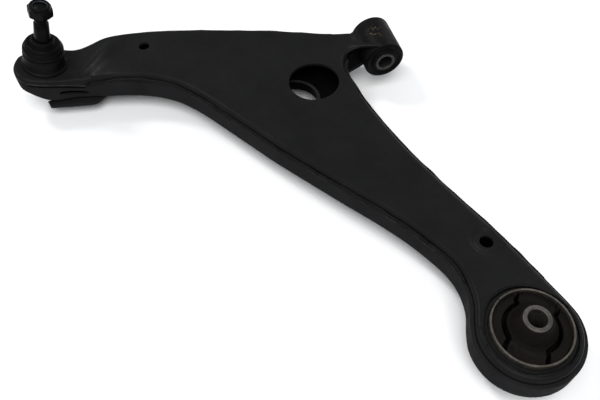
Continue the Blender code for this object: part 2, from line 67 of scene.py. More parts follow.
# Pressed sheets
SHEET = 3.0
TOP_Z = -4.0
BOTTOM_Z = -32.0
UPPER_RIM_Z = -14.0
LOWER_RIM_Z = -10.5
EDGE_STEP = 3.3
TOP_EDGE_R = 4.2
BOTTOM_EDGE_R = 4.5
EYE_R = 42.8
EYE_CENTRE = (-0.7, -0.5)
NECK_END = (-23.0, 333.5)
NECK_R = 15.5
WALL_ROWS = (LOWER_RIM_Z, -14.0, -18.0, -23.0)
OUTLINE_SPACING = 3.0
GRID = 4.5
ROW_SHARE = 0.866
RING_SPACING = 2.4
EYE_CUT_R = 35.0

# Fold of the top sheet into the tongue, and rise of the bottom sheet at its nose
FOLD_START = 264.0
FOLD_LENGTH = 28.0
FOLD_DROP = 0.25
FOLD_SOFTNESS = 4.0
TONGUE_TILT = acos(BALL_AXIS.z)
NOSE_START = 328.0
NOSE_RISE = 19.0
TONGUE_EDGE = 284.0
TONGUE_SIDE = 416.0
FLANGE_LOSS = 0.66
CREASE_FROM = (-251.0, 406.0)
CREASE_RUN = Vector((-49.0, -39.0))
CREASE_HEIGHT = 2.8
CREASE_WIDTH = 7.2

# Holes: (x, y, radius)
ACCESS_TOP = (-76.7, 290.6, 24.1)
ACCESS_BOTTOM = (-98.2, 288.0, 23.0)
DRAIN_OUTBOARD = (-225.5, 390.4, 5.3)
DRAIN_INBOARD = (2.4, 78.7, 5.6)
LIP_R = 3.6
COLLAR_HEIGHT = 8.6
DIMPLE_R = 12.5
DIMPLE_DEPTH = 2.0
SLOT_HALF = 11.5
SLOT_R = 2.4
SLOT_AT = (-303.0, 366.5, -22.4)

# Welds
BEAD_STEP = 0.75

# Bushes
BOLT_R = 7.1
REAR_SLEEVE_R = 10.6
REAR_SHELL_R = 31.0
REAR_SHELL_LENGTH = 34.0
REAR_SLEEVE_HALF = 30.6
FRONT_Z = (FRONT_PIVOT.z - ARM_ORIGIN.z) / MM
FRONT_Y = (FRONT_PIVOT.y - ARM_ORIGIN.y) / MM
FRONT_TUBE_R = 20.2
FRONT_HALF = 21.25
FRONT_SLEEVE_R = 10.0
TUBE_CLEARANCE = 0.15
VOID_WIDTH = 3.6
VOID_HALF = 25.0
VOID_TURN = radians(-38.0)

# Ball joint
BALL_HEIGHT = 5.5
BALL_ORIGIN = BALL_CENTRE - BALL_AXIS * BALL_HEIGHT * MM
BALL = (Matrix.Translation(BALL_ORIGIN) @ Matrix.Rotation(TONGUE_TILT, 4, "Y")
        @ Matrix.Scale(MM, 4))
UNDERSIDE_R = 21.0
TONGUE_HOLE_R = 17.4
BOOT_FOLD = 23.5
THREAD_R = 6.0
THREAD_FROM = 53.6
THREAD_PITCH = 1.25
THREAD_DEPTH = 0.62
STUD_TO = 67.9
HEX_TURN = radians(22.0)


# ---------------------------------------------------------------- materials

class Shader:
    """A Principled material and short ways to wire procedural textures into it."""

    def __init__(self, name, metallic=0.0, specular=0.5):
        self.material = bpy.data.materials.new(name)
        self.material.use_nodes = True
        self.nodes = self.material.node_tree.nodes
        self.links = self.material.node_tree.links
        self.principled = self.nodes["Principled BSDF"]
        self.fill(self.principled, {"Metallic": metallic, "Specular IOR Level": specular})
        self.place = self.nodes.new("ShaderNodeTexCoord").outputs["Object"]

    def fill(self, node, inputs):
        """Set a node's inputs to values, or link them to sockets."""
        for key, value in inputs.items():
            if isinstance(value, bpy.types.NodeSocket):
                self.links.new(value, node.inputs[key])
            else:
                node.inputs[key].default_value = value
        return node

    def node(self, kind, inputs):
        return self.fill(self.nodes.new("ShaderNode" + kind), inputs)

    def noise(self, per_metre, detail=4.0, rough=0.55, stretch=(1.0, 1.0, 1.0)):
        mapping = self.node("Mapping", {"Vector": self.place, "Scale": stretch})
        return self.node("TexNoise", {"Vector": mapping.outputs["Vector"], "Scale": per_metre,
                                      "Detail": detail, "Roughness": rough}).outputs["Fac"]

    def cells(self, per_metre):
        texture = self.node("TexVoronoi", {"Vector": self.place, "Scale": per_metre})
        return texture.outputs["Distance"]

    def ramp(self, source, low, high, start=0.35, stop=0.65):
        """Grey or coloured levels between two values of the source."""
        node = self.node("ValToRGB", {"Fac": source})
        for i, position, value in ((0, start, low), (1, stop, high)):
            node.color_ramp.elements[i].position = position
            node.color_ramp.elements[i].color = level(value)
        return node.outputs["Color"]

    def mix(self, factor, first, second, blend="MIX"):
        node = self.nodes.new("ShaderNodeMix")
        node.data_type = "RGBA"
        node.blend_type = blend
        self.fill(node, {"Factor": factor, "A": first, "B": second})
        return node.outputs["Result"]

    def finished(self, colour, roughness, *bumps):
        """The whole material; each bump is (height, distance in mm, strength)."""
        inputs = {"Base Color": colour, "Roughness": roughness}
        for height, distance, strength in bumps:
            bump = self.node("Bump", {"Height": height, "Distance": distance * MM,
                                      "Strength": strength})
            if "Normal" in inputs:
                self.links.new(inputs["Normal"], bump.inputs["Normal"])
            inputs["Normal"] = bump.outputs["Normal"]
        self.fill(self.principled, inputs)
        return self.material


def level(value):
    """A grey or a colour as a socket takes it."""
    return (*value, 1.0) if isinstance(value, tuple) else (value, value, value, 1.0)


def ecoat_material(name, dark, light, rough=0.31, specular=0.03):
    """Satin electro-coat: faint clouding, dust in the film and orange peel."""
    made = Shader(name, specular=specular)
    clouds = made.ramp(made.noise(28.0, 5.0), dark, light)
    dust = made.ramp(made.noise(2600.0, 2.0), 0.0, 1.0, 0.69, 0.74)
    return made.finished(
        made.mix(dust, clouds, level((0.030, 0.030, 0.031))),
        made.ramp(made.noise(160.0, 4.0), rough - 0.06, rough + 0.08),
        (made.noise(750.0, 2.0), 0.10, 0.5), (made.noise(90.0, 2.0), 0.25, 0.12),
        (made.noise(3800.0, 1.0), 0.02, 0.3))


def weld_material():
    """Bead under the coat: duller and rougher, with small pits; dark partly from soot, partly as
    painted shade of the seam's groove.
    """
    made = Shader("weld_bead_and_painted_shade", specular=0.08)
    return made.finished(
        made.ramp(made.noise(220.0, 4.0), (0.0020, 0.0020, 0.0021), (0.0050, 0.0050, 0.0051)),
        made.ramp(made.noise(500.0, 3.0), 0.38, 0.62),
        (made.noise(700.0, 4.0), 0.30, 0.6), (made.cells(900.0), 0.12, 0.3))


def steel_material(name, dark, light, rough, lathe=(1.0, 1.0, 14.0)):
    """Machined or drawn steel with fine lines across one axis and a thin dull film."""
    made = Shader(name, metallic=0.75, specular=0.15)
    film = made.ramp(made.noise(140.0, 5.0), dark, light)
    spots = made.ramp(made.noise(900.0, 3.0), 0.0, 1.0, 0.60, 0.72)
    return made.finished(
        made.mix(spots, film, level(tuple(0.45 * value for value in dark))),
        made.ramp(made.noise(420.0, 3.0), rough - 0.08, rough + 0.12),
        (made.noise(420.0, 3.0, stretch=lathe), 0.05, 0.5), (made.noise(1500.0, 2.0), 0.04, 0.3))


def rubber_material(name, dark, light, rough, bloom, specular):
    """Moulded rubber: matt, with a faint bloom and the grain of its mould."""
    made = Shader(name, specular=specular)
    base = made.ramp(made.noise(60.0, 4.0), dark, light)
    specks = made.ramp(made.noise(1700.0, 3.0), 0.0, 1.0, 0.66, 0.72)
    return made.finished(
        made.mix(specks, base, level(bloom)),
        made.ramp(made.noise(300.0, 3.0), rough - 0.08, rough + 0.08),
        (made.noise(1300.0, 3.0), 0.07, 0.5), (made.noise(200.0, 3.0), 0.25, 0.2))


def plastic_material(name, colour, rough):
    """Injection-moulded bearing plastic with a fine grain."""
    made = Shader(name, specular=0.4)
    return made.finished(
        made.ramp(made.noise(90.0, 3.0), tuple(0.93 * value for value in colour), colour),
        made.ramp(made.noise(700.0, 3.0), rough - 0.05, rough + 0.08),
        (made.noise(1600.0, 2.0), 0.03, 0.4))


def chipped_coat_material():
    """The tube's coat, with small chips down to the beige phosphate at one place on its crown."""
    made = Shader("tube_coat", specular=0.04)
    clouds = made.ramp(made.noise(40.0, 5.0), (0.0040, 0.0040, 0.0040), (0.0066, 0.0066, 0.0065))
    edges = made.noise(420.0, 5.0, 0.65)
    reach = made.node("VectorMath", {0: made.place, 1: ARM @ Vector((-3.0, 324.0, 9.8))})
    reach.operation = "DISTANCE"
    patch = made.ramp(reach.outputs["Value"], 1.0, 0.0, 0.004, 0.009)
    chips = made.mix(1.0, patch, made.ramp(edges, 0.0, 1.0, 0.56, 0.59), "MULTIPLY")
    return made.finished(
        made.mix(chips, clouds, level((0.085, 0.070, 0.042))),
        made.ramp(made.noise(160.0, 4.0), 0.38, 0.52),
        (made.noise(750.0, 2.0), 0.10, 0.5), (edges, 0.05, 0.3))


LOOKS = (
    (ecoat_material, {
        "ecoat": ("sheet_coat", (0.0084, 0.0084, 0.0086), (0.0104, 0.0104, 0.0106)),
        # Copy of the sheet coat with a lighter base and almost no reflection: painted light on the
        # lower pan's walls.
        "wall": ("wall_coat", (0.0115, 0.0115, 0.0120), (0.0150, 0.0150, 0.0156), 0.5, 0.006),
        # Darker copy of the sheet coat: painted shade on the pans' inner faces and collar, the wall
        # under the neck and the gap under the tongue's flange.
        "inside": ("sheet_inside", (0.0015, 0.0015, 0.0017), (0.0025, 0.0025, 0.0027), 0.5, 0.01),
        "housing": ("housing_coat", (0.0023, 0.0023, 0.0024), (0.0034, 0.0034, 0.0035), 0.46,
                    0.06),
    }),
    (steel_material, {
        "shell": ("shell_steel", (0.062, 0.055, 0.046), (0.105, 0.094, 0.080), 0.46),
        "sleeve": ("sleeve_steel", (0.058, 0.053, 0.048), (0.100, 0.092, 0.084), 0.44),
        "front_sleeve": ("front_sleeve_steel", (0.026, 0.026, 0.025), (0.046, 0.045, 0.043), 0.44,
                         (1.0, 14.0, 1.0)),
        "stud": ("stud_phosphate", (0.0022, 0.0022, 0.0021), (0.0055, 0.0055, 0.0051), 0.45),
        # Lighter coat for thin edges and beads: a painted highlight, not wear.
        "worn_edge": ("worn_edge", (0.012, 0.012, 0.012), (0.026, 0.026, 0.025), 0.42),
        "wire": ("wire_steel", (0.006, 0.006, 0.006), (0.014, 0.014, 0.0135), 0.48),
    }),
    (rubber_material, {
        "bush_rubber": ("bush_rubber", (0.0027, 0.0020, 0.0015), (0.0044, 0.0034, 0.0027), 0.66,
                        (0.014, 0.012, 0.010), 0.08),
        "boot_rubber": ("boot_rubber", (0.0018, 0.0018, 0.0019), (0.0030, 0.0030, 0.0031), 0.52,
                        (0.008, 0.008, 0.008), 0.045),
    }),
    (plastic_material, {
        "bearing": ("bearing_acetal", (0.75, 0.73, 0.68), 0.45),
        "nylon": ("nylon_ring", (0.008, 0.009, 0.014), 0.5),
    }),
)
MATERIALS = {"weld": weld_material(), "tube": chipped_coat_material()}
for make, rows in LOOKS:
    MATERIALS.update({look: make(*values) for look, values in rows.items()})


# ---------------------------------------------------------------- mesh tools

def linked(name, data):
    made = bpy.data.objects.new(name, data)
    bpy.context.scene.collection.objects.link(made)
    return made


def as_object(bm, name, matrix):
    """Turn a bmesh into an object whose faces look outwards."""
    bmesh.ops.transform(bm, matrix=matrix, verts=bm.verts)
    bmesh.ops.recalc_face_normals(bm, faces=bm.faces)
    mesh = bpy.data.meshes.new(name)
    bm.to_mesh(mesh)
    bm.free()
    return linked(name, mesh)


def place(bm, name, matrix, look, body, slot, *nodes, sharp=35.0):
    """Turn a bmesh into a piece that stands for these nodes; no body if it is cut first or left
    without one.
    """
    piece = as_object(bm, name, matrix)
    piece.data.materials.append(MATERIALS[look])
    finish_shading(piece, sharp)
    if nodes:
        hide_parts(*nodes)
    if body:
        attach(piece, body)
    return piece


def finish_shading(piece, sharp):
    piece.data.shade_smooth()
    piece.data.set_sharp_from_angle(angle=radians(sharp))


def cut_with(piece, *cutters, sharp=35.0):
    """Subtract helper solids from a piece, then throw the helpers away."""
    for cutter in cutters:
        boolean = piece.modifiers.new("cut", "BOOLEAN")
        boolean.operation = "DIFFERENCE"
        boolean.object = cutter
    cut = piece.evaluated_get(bpy.context.evaluated_depsgraph_get())
    baked = bpy.data.meshes.new_from_object(cut)
    piece.modifiers.clear()
    piece.data = baked
    for cutter in cutters:
        bpy.data.objects.remove(cutter)
    finish_shading(piece, sharp)


def bridge(bm, first, second):
    """Join two closed loops of as many vertices with a band of faces."""
    count = len(first)
    for i in range(count):
        j = (i + 1) % count
        bm.faces.new((first[i], first[j], second[j], second[i]))


def bridge_all(bm, loops):
    for first, second in zip(loops, loops[1:]):
        bridge(bm, first, second)


def lofted(*loops):
    """A closed solid through loops of places, with a flat cap at either end."""
    bm = bmesh.new()
    rings = [[bm.verts.new(spot) for spot in loop] for loop in loops]
    bridge_all(bm, rings)
    bm.faces.new(rings[0])
    bm.faces.new(rings[-1])
    return bm


def arc(centre, radius, start, stop, steps):
    """Points on a circle, from one angle to another in degrees."""
    angles = [radians(start + (stop - start) * i / steps) for i in range(steps + 1)]
    return [(centre[0] + radius * cos(a), centre[1] + radius * sin(a)) for a in angles]


def rounded(profile, radius=0.4, steps=3):
    """Round every corner of a closed (radius, height) profile that is sharp enough to show."""
    points = [Vector(p) for p in profile]
    found = []
    for i, here in enumerate(points):
        back = points[i - 1] - here
        ahead = points[(i + 1) % len(points)] - here
        on_axis = here.x < 1e-6 or min(back.length, ahead.length) < 1e-6
        turn = 0.0 if on_axis else pi - back.angle(ahead)
        reach = min(radius * tan(turn / 2), 0.45 * back.length, 0.45 * ahead.length)
        if turn < radians(12.0) or reach < 0.02:
            found.append(here)
            continue
        first = here + back.normalized() * reach
        last = here + ahead.normalized() * reach
        for k in range(steps + 1):
            t = k / steps
            found.append(first * (1 - t)**2 + here * 2 * t * (1 - t) + last * t**2)
    return [(p.x, p.y) for p in found]


def turned(profile, segments=96, ripple=None):
    """Spin a closed (radius, height) profile about Z; ripple may move each point."""
    bm = bmesh.new()
    columns = []
    for i in range(segments):
        angle = tau * i / segments
        column = []
        for radius, height in profile:
            r, h = ripple(radius, height, angle) if ripple else (radius, height)
            column.append(bm.verts.new((r * cos(angle), r * sin(angle), h)))
        columns.append(column)
    count = len(profile)
    for i, column in enumerate(columns):
        following = columns[(i + 1) % segments]
        for k in range(count):
            j = (k + 1) % count
            if max(profile[k][0], profile[j][0]) > 1e-6:
                bm.faces.new((column[k], following[k], following[j], column[j]))
    bmesh.ops.remove_doubles(bm, verts=bm.verts, dist=1e-4)
    return bm


def tube_along(path, radius_at, sides):
    """Sweep a round section along points; radius_at(i) gives its size at each of them."""
    loops = []
    last = len(path) - 1
    for i, middle in enumerate(path):
        along = path[min(i + 1, last)] - path[max(i - 1, 0)]
        across = along.cross(Vector((0, 0, 1))).normalized()
        upward = across.cross(along).normalized()
        size = radius_at(i)
        loops.append([middle + (across * cos(a) + upward * sin(a)) * size
                      for a in (tau * k / sides for k in range(sides))])
    return lofted(*loops)


def tube_profile(inner, outer, half):
    """The closed profile of a plain tube, from -half to half along its axis."""
    return [(inner, -half), (outer, -half), (outer, half), (inner, half)]


def smooth_step(value):
    """0 up to 0, 1 from 1 on, and a smooth rise between."""
    value = min(max(value, 0.0), 1.0)
    return value * value * (3.0 - 2.0 * value)


def jitter(index, seed, size=1.0):
    """Repeatable smooth wander along a run."""
    return size * noise.noise(Vector((index, seed, 0.5)))


# ---------------------------------------------------------------- outline of the arm

def slope(before, here, after, gap_1, gap_2):
    return ((here - before) / gap_1 - (after - before) / (gap_1 + gap_2)
            + (after - here) / gap_2)


def spline(points, steps=10):
    """A smooth closed curve through the points, as a dense list."""
    dense = []
    count = len(points)
    for i in range(count):
        p0, p1, p2, p3 = (Vector(points[(i + k - 1) % count]) for k in range(4))
        gap = [max((b - a).length, 1e-6) ** 0.5 for a, b in ((p0, p1), (p1, p2), (p2, p3))]
        slope_1 = slope(p0, p1, p2, gap[0], gap[1]) * gap[1]
        slope_2 = slope(p1, p2, p3, gap[1], gap[2]) * gap[1]
        for step in range(steps):
            t = step / steps
            dense.append(p1 * (2 * t**3 - 3 * t**2 + 1) + slope_1 * (t**3 - 2 * t**2 + t)
                         + p2 * (3 * t**2 - 2 * t**3) + slope_2 * (t**3 - t**2))
    return dense


def resampled(dense, spacing, closed=True):
    """Points at even distances along a line."""
    line = dense + dense[:1] if closed else dense
    total = sum((b - a).length for a, b in zip(line, line[1:]))
    count = max(int(round(total / spacing)), 2)
    step = total / count
    found = []
    travelled = 0.0
    for a, b in zip(line, line[1:]):
        run = (b - a).length
        while len(found) < count and len(found) * step <= travelled + run + 1e-9:
            found.append(a.lerp(b, (len(found) * step - travelled) / max(run, 1e-9)))
        travelled += run
    if not closed:
        found.append(line[-1])
    return found


def arm_outline():
    """Outer face of the lower sheet's wall, anticlockwise seen from above."""
    eye = arc(EYE_CENTRE, EYE_R, 155, 360, 11)
    inboard = [(40.5, 10), (36, 26), (30.5, 44), (24.2, 64), (16.5, 88), (7.5, 112), (-2, 137),
               (-11, 163), (-20, 190), (-28, 222), (-34, 250), (-37.5, 277), (-39, 295)]
    neck = [(-38, 304), (-33.5, 312.5), *arc(NECK_END, NECK_R, -80, 80, 6)]
    forward = [(-36, 353), (-61, 363), (-92, 376), (-123, 387.3), (-154, 397.6), (-186, 407.6),
               (-218, 415.8), (-242, 420), (-262, 421), (-280, 419), (-297, 418.6), (-312, 421.5)]
    tongue = [(-328, 422.5), (-343, 412.5), (-351, 399), (-352.8, 386), (-349, 375), (-339, 369),
              (-323, 367), (-305, 366.5)]
    outboard = [(-288, 363), (-270, 357.5), (-250, 352), (-228, 343), (-208.5, 330), (-193.5, 314),
                (-178.5, 293), (-160.5, 265), (-135.5, 226.3), (-111.5, 192.3), (-88.5, 160.3),
                (-66.5, 130.3), (-51, 106.5), (-40.5, 86.5), (-33, 69), (-30.3, 52), (-32.5, 34)]
    corners = [*eye, *inboard, *neck, *forward, *tongue, *outboard]
    return resampled(spline(corners), OUTLINE_SPACING)


def inset(outline, distance):
    """Move every point of a closed anticlockwise outline inwards, square to the curve."""
    moved = []
    count = len(outline)
    for i in range(count):
        before = (outline[i] - outline[i - 1]).normalized()
        after = (outline[(i + 1) % count] - outline[i]).normalized()
        along = (before + after).normalized()
        inward = Vector((-along.y, along.x))
        moved.append(outline[i] + inward * distance / max(along.dot(before), 0.5))
    return moved


def reach_out(outline):
    """The outline for the top sheet: on the tongue it lies further out."""
    farther = inset(outline, 0.2 - EDGE_STEP)
    return [near.lerp(far, on_tongue(near.x, near.y)) for near, far in zip(outline, farther)]


def soft_corner(value):
    """Zero for negative values, rising one for one for positive ones, with a soft turn."""
    return FOLD_SOFTNESS * log1p(exp(min(value / FOLD_SOFTNESS, 50.0)))


def fold_height(x):
    """The top sheet's step down before the tongue and its slope up along it."""
    beyond = -x - FOLD_START
    down = FOLD_DROP * soft_corner(beyond)
    return (FOLD_DROP + tan(TONGUE_TILT)) * soft_corner(beyond - FOLD_LENGTH) - down


def nose_height(x):
    """How far the bottom sheet rises under the tip of the tongue."""
    beyond = -x - NOSE_START
    return soft_corner(beyond) - soft_corner(beyond - NOSE_RISE)


def folded(x, y, z):
    """A point of either sheet, bent with the fold above and the nose below."""
    share = min(max((z - BOTTOM_Z) / (LOWER_RIM_Z - BOTTOM_Z), 0.0), 1.0)
    return Vector((x, y, z + share * fold_height(x) + (1.0 - share) * nose_height(x)))


def dimple(x, y):
    """The round pressing about the inboard drain hole."""
    away = hypot(x - DRAIN_INBOARD[0], y - DRAIN_INBOARD[1])
    return -DIMPLE_DEPTH * (1.0 - smooth_step((away - DIMPLE_R + 4.0) / 6.0))


def on_tongue(x, y):
    """1 on the tongue, where the top sheet reaches out to the lower one's edge."""
    return smooth_step((-x - TONGUE_EDGE) / 9.0) * smooth_step((TONGUE_SIDE - y) / 10.0)


def crease(x, y):
    """The pressed rib that crosses the fold slantwise, from far and inboard to near the tongue."""
    spot = Vector((x, y)) - Vector(CREASE_FROM)
    along = spot.dot(CREASE_RUN) / CREASE_RUN.length_squared
    off = spot.cross(CREASE_RUN) / CREASE_RUN.length
    fade = smooth_step((along + 0.1) / 0.35) * smooth_step((1.12 - along) / 0.2)
    return CREASE_HEIGHT * fade * exp(-(off / CREASE_WIDTH)**2)


def pressed_top(x, y, z):
    """Top sheet: its fold, the dimple, the rib and the faint unevenness of the pressing."""
    flange = TOP_Z - TOP_EDGE_R
    if z < flange:
        z = flange - (flange - z) * (1.0 - FLANGE_LOSS * on_tongue(x, y))
    point = folded(x, y, z)
    if z > TOP_Z - 1.0 - SHEET:
        point.z += dimple(x, y) + crease(x, y) + 0.10 * noise.noise(Vector((x, y, 0.0)) / 45.0)
    return point


# ---------------------------------------------------------------- pressed sheets

def circle(x, y, radius, count):
    """Points at even steps round a circle."""
    return [Vector(p) for p in arc((x, y), radius, 0, 360.0 * (count - 1) / count, count - 1)]


def inside(point, loop):
    """Whether a point lies inside a closed loop."""
    found = False
    for a, b in zip(loop, loop[1:] + loop[:1]):
        if (a.y > point.y) != (b.y > point.y):
            if point.x < a.x + (b.x - a.x) * (point.y - a.y) / (b.y - a.y):
                found = not found
    return found


def fill_points(rim, holes, spots):
    """Places inside the rim and outside the holes: an even grid and, for each spot, rings."""
    low = [min(p[i] for p in rim) for i in (0, 1)]
    high = [max(p[i] for p in rim) for i in (0, 1)]
    found = []
    for x, y, radii in spots:
        for radius in radii:
            found += circle(x, y, radius, max(int(tau * radius / RING_SPACING), 20))
    for row in range(int((high[1] - low[1]) / (GRID * ROW_SHARE)) + 1):
        y = low[1] + row * GRID * ROW_SHARE
        x = low[0] + (row % 2) * GRID / 2
        while x < high[0]:
            here = Vector((x, y))
            x += GRID
            if all(hypot(here.x - s[0], here.y - s[1]) > max(s[2]) + 1.5 for s in spots):
                found.append(here)
    kept = []
    for here in found:
        clear = all((here - Vector((x, y))).length > radius + 1.2 for x, y, radius in holes)
        if clear and inside(here, rim) and min((here - p).length for p in rim) > 2.0:
            kept.append(here)
    return kept


def flat_radius(hole, depth):
    """Where a hole's edge meets the flat of the outer (depth 0) or the inner face."""
    _, _, radius, edge, _ = hole
    return radius if depth and edge < SHEET else radius + edge


def hole_edge(bm, hole, flat_z, depth, shape, facing):
    """Loops of one face of a hole's edge, from the flat to its end; depth is below the outer face.

    A hole is (x, y, radius, edge radius, collar). An edge radius above the sheet's thickness rolls
    the edge over into a collar of that further height, in the sheet's second material, the dark
    inside coat that paints its shade; a smaller one only rounds the outer face.
    """
    x, y, radius, edge, collar = hole
    start = flat_radius(hole, depth)
    ring = circle(x, y, start, max(int(tau * (radius + edge) / 2.0), 24))
    loops = [[bm.verts.new(shape(p.x, p.y, flat_z)) for p in ring]]
    bend = edge - depth if edge > SHEET else edge
    steps = [] if start == radius else [radians(18.0 * step) for step in range(1, 6)]
    places = [(start - bend * sin(a), bend * (1.0 - cos(a)) * facing) for a in steps]
    if collar:
        places.append((places[-1][0], places[-1][1] + collar * facing))
    for out, sunk in places:
        loops.append([bm.verts.new(shape(x + (p.x - x) * out / start, y + (p.y - y) * out / start,
                                         flat_z) - Vector((0, 0, sunk))) for p in ring])
    bridge_all(bm, loops)
    # Collar faces take the second material, the dark inside coat that paints their shade.
    for vert in (vert for loop in loops[1:] for vert in loop if collar):
        for face in vert.link_faces:
            face.material_index = 1
    return ring, loops


def fill_flat(bm, borders, circles, flat_z, shape, spots):
    """Triangulate the flat inside its borders (points, vertices): the rim, then the circles."""
    flat, owners, edges = [], [], []
    for ring, loop in borders:
        first = len(flat)
        flat += ring
        owners += loop
        edges += [(first + i, first + (i + 1) % len(ring)) for i in range(len(ring))]
    flat += fill_points(borders[0][0], circles, spots)
    points, _, triangles, origins, _, _ = delaunay_2d_cdt(flat, edges, [], 1, 1e-5)
    corners = []
    for spot, origin in zip(points, origins):
        known = [i for i in origin if i < len(owners)]
        corners.append(owners[known[0]] if known else bm.verts.new(shape(spot.x, spot.y, flat_z)))
    for triangle in triangles:
        middle = sum((points[i] for i in triangle), Vector((0, 0))) / 3
        if all((middle - Vector((x, y))).length > radius - 0.02 for x, y, radius in circles):
            bm.faces.new([corners[i] for i in triangle])


def pressed_sheet(name, outline, faces, holes, shape, spots, facing, look, node):
    """A pressed pan as a closed solid.

    Its outer and inner faces are rows of (inset, height) from the rim to the flat; shape bends
    a flat place into its real one, and facing is the side that the flat looks to. What lies
    behind the outer face takes the second material, the dark inside coat that paints its shade.
    """
    bm = bmesh.new()
    rims, hole_ends = [], []
    outside = 0  # how many faces the outer one has
    for depth, rows in zip((0.0, SHEET), faces):
        loops = [[bm.verts.new(shape(p.x, p.y, height)) for p in inset(outline, distance)]
                 for distance, height in rows]
        bridge_all(bm, loops)
        rims.append(loops[0])
        to_flat, flat_z = rows[-1]
        made = [hole_edge(bm, hole, flat_z, depth, shape, facing) for hole in holes]
        borders = [(inset(outline, to_flat), loops[-1])] + [(ring, edge[0]) for ring, edge in made]
        circles = [(hole[0], hole[1], flat_radius(hole, depth)) for hole in holes]
        fill_flat(bm, borders, circles, flat_z, shape, spots)
        hole_ends.append([edge[-1] for _, edge in made])
        outside = outside or len(bm.faces)
    bm.faces.ensure_lookup_table()
    for face in bm.faces[outside:]:
        face.material_index = 1
    bridge(bm, rims[0], rims[1])
    for outer, inner in zip(*hole_ends):
        bridge(bm, outer, inner)
    piece = place(bm, name, ARM, look, None, "ecoat", node)
    # The inner faces take the dark inside coat, which paints their shade.
    piece.data.materials.append(MATERIALS["inside"])
    return piece


def cylinder(radius, low, high, matrix):
    profile = [(0, low), (radius, low), (radius, high), (0, high)]
    return as_object(turned(profile), "helper", matrix)


def along_y(x, y, z):
    """Stand a turned shape so that its axis runs along the arm's Y."""
    return ARM @ Matrix.Translation((x, y, z)) @ Matrix.Rotation(-pi / 2, 4, "X")


def sheet_faces(wall, heights, edge_r, flat_z, facing):
    """Rows of a pan's outer and inner face: along its wall, then round its edge to the flat."""
    faces = []
    for depth, steps in ((0.0, 7), (SHEET, 3)):
        rows = [(wall + depth, height) for height in heights]
        rows += [(wall + edge_r - x, flat_z - facing * edge_r + facing * y)
                 for x, y in arc((0, 0), edge_r - depth, 0, 90, steps)]
        faces.append(rows)
    return faces


def tube_cutter():
    """Room for the front tube in both sheets."""
    return cylinder(FRONT_TUBE_R + TUBE_CLEARANCE, -50, 50, along_y(0, FRONT_Y, FRONT_Z))


def make_upper_sheet(outline):
    faces = sheet_faces(EDGE_STEP, (UPPER_RIM_Z, UPPER_RIM_Z + 2.5), TOP_EDGE_R, TOP_Z, 1.0)
    holes = [(*ACCESS_TOP, 0.8, 0.0), (*DRAIN_OUTBOARD, 0.5, 0.0), (*DRAIN_INBOARD, 0.5, 0.0)]
    spots = [(*ACCESS_TOP[:2], (26.7, 29.0)),
             (*DRAIN_INBOARD[:2], [7.3 + 1.4 * i for i in range(8)]),
             (*DRAIN_OUTBOARD[:2], (7.0, 9.0))]
    piece = pressed_sheet("upper_sheet", reach_out(outline), faces, holes, pressed_top, spots,
                          1.0, "ecoat", "upper_shell")
    cut_with(piece, cylinder(EYE_CUT_R, -40, 10, ARM), tube_cutter(),
             cylinder(TONGUE_HOLE_R, -12, 8, BALL))
    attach(piece, "arm")


def make_lower_sheet(outline):
    faces = sheet_faces(0.0, WALL_ROWS, BOTTOM_EDGE_R, BOTTOM_Z, -1.0)
    holes = [(*ACCESS_BOTTOM, LIP_R, COLLAR_HEIGHT)]
    spots = [(*ACCESS_BOTTOM[:2], (29.0, 31.0))]
    # The lower pan takes the wall coat, whose lighter base paints the light on its walls.
    piece = pressed_sheet("lower_sheet", outline, faces, holes, folded, spots, -1.0, "wall",
                          "lower_shell")
    cut_with(piece, cylinder(EYE_CUT_R, -50, 10, ARM), tube_cutter(),
             cylinder(UNDERSIDE_R, -60, -6, BALL), wall_slot())
    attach(piece, "arm")


def wall_slot():
    """Cutter for the long drain slot through the near wall below the ball joint."""
    rim = arc((SLOT_HALF, 0), SLOT_R, -90, 90, 8) + arc((-SLOT_HALF, 0), SLOT_R, 90, 270, 8)
    slot = lofted([(x, -14.0, z) for x, z in rim], [(x, 8.0, z) for x, z in rim])
    along_wall = Matrix.Rotation(radians(-14.0), 4, "Z")
    rising = Matrix.Rotation(radians(9.0), 4, "Y")
    return as_object(slot, "helper", ARM @ Matrix.Translation(SLOT_AT) @ along_wall @ rising)


# ---------------------------------------------------------------- welds

def run_between(line, start, stop):
    """The anticlockwise stretch of a closed line between two places, in a bead's even steps."""
    first, last = (min(range(len(line)), key=lambda i: (line[i] - Vector(spot)).length)
                   for spot in (start, stop))
    if last < first:
        last += len(line)
    run = [line[i % len(line)] for i in range(first, last + 1)]
    return resampled(run, BEAD_STEP, closed=False)


def lay_bead(name, path, radius, seed, *nodes, ripple=2.3, wander=0.8, look="weld",
             slot="weld"):
    """A hand-laid bead: overlapping ripples, a wandering line and tapered ends."""
    places = []
    for i, spot in enumerate(path):
        off = Vector((jitter(i * 0.05, seed), jitter(i * 0.05, seed + 5.0),
                      jitter(i * 0.06, seed + 9.0)))
        places.append(spot + off * wander)
    last = len(path) - 1

    def size(i):
        phase = (i * BEAD_STEP / ripple) % 1.0
        swell = 1.0 + 0.16 * (1.0 - phase)**2 - 0.05 + jitter(i * 0.06, seed + 3.0, 0.22)
        end = smooth_step(min(i, last - i) / 4.0)
        return radius * swell * (0.35 + 0.65 * end)

    place(tube_along(places, size, 12), name, ARM, look, "arm", slot, *nodes)


